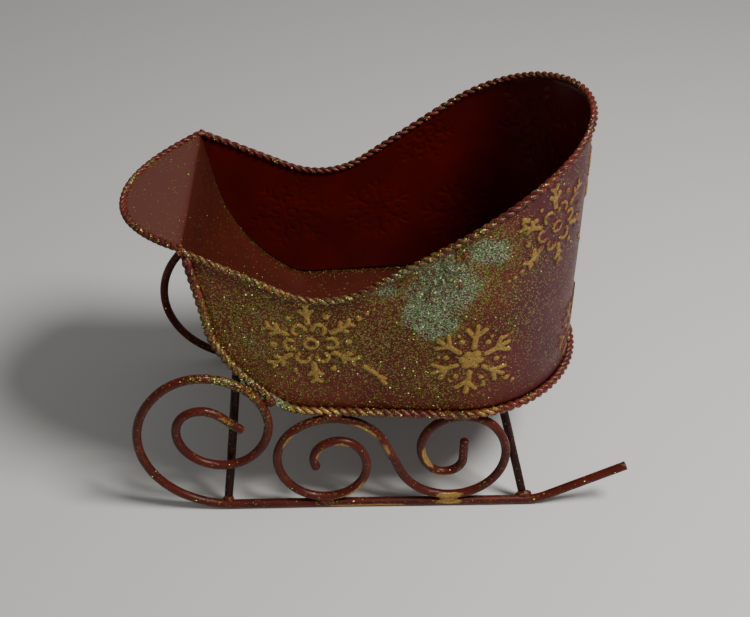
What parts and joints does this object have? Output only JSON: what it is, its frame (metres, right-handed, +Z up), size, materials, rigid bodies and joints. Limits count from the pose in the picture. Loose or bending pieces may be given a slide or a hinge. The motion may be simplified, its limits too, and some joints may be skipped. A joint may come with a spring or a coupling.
{
  "type": "decorative tin sleigh",
  "caption": "Tabletop tin sleigh: an embossed sheet-metal body with a rounded high back and dash lip, edged in twisted wire, on two scrolled wire runners.",
  "frame": {"origin": "on the ground under the middle of the overall box", "axes": "+X is the direction of travel, towards the dash lip and the front curls, +Y is the sleigh's left side, +Z is up"},
  "size_m": [0.231, 0.1212, 0.1874],
  "materials": {
    "wall_paint": "gloss red paint with gold snowflakes and glitter",
    "pan_paint": "gloss red paint",
    "braid_paint": "gloss red paint with a brushed gold bloom",
    "wire_paint": "gloss red paint with brushed gold streaks",
    "stay_paint": "satin dark red paint"
  },
  "bodies": {
    "root": {"body_wall": "wall_paint", "floor_pan": "pan_paint", "dash_lip": "pan_paint", "rim_braid": "braid_paint", "base_braid": "braid_paint", "lip_braid": "braid_paint", "runner_left": "wire_paint", "runner_right": "wire_paint", "scroll_left": "wire_paint", "scroll_right": "wire_paint", "front_stay": "stay_paint", "rear_stay": "stay_paint", "solder_left": "wire_paint", "solder_right": "wire_paint", "tail_left": "wire_paint", "tail_right": "wire_paint"}
  },
  "joints": []
}
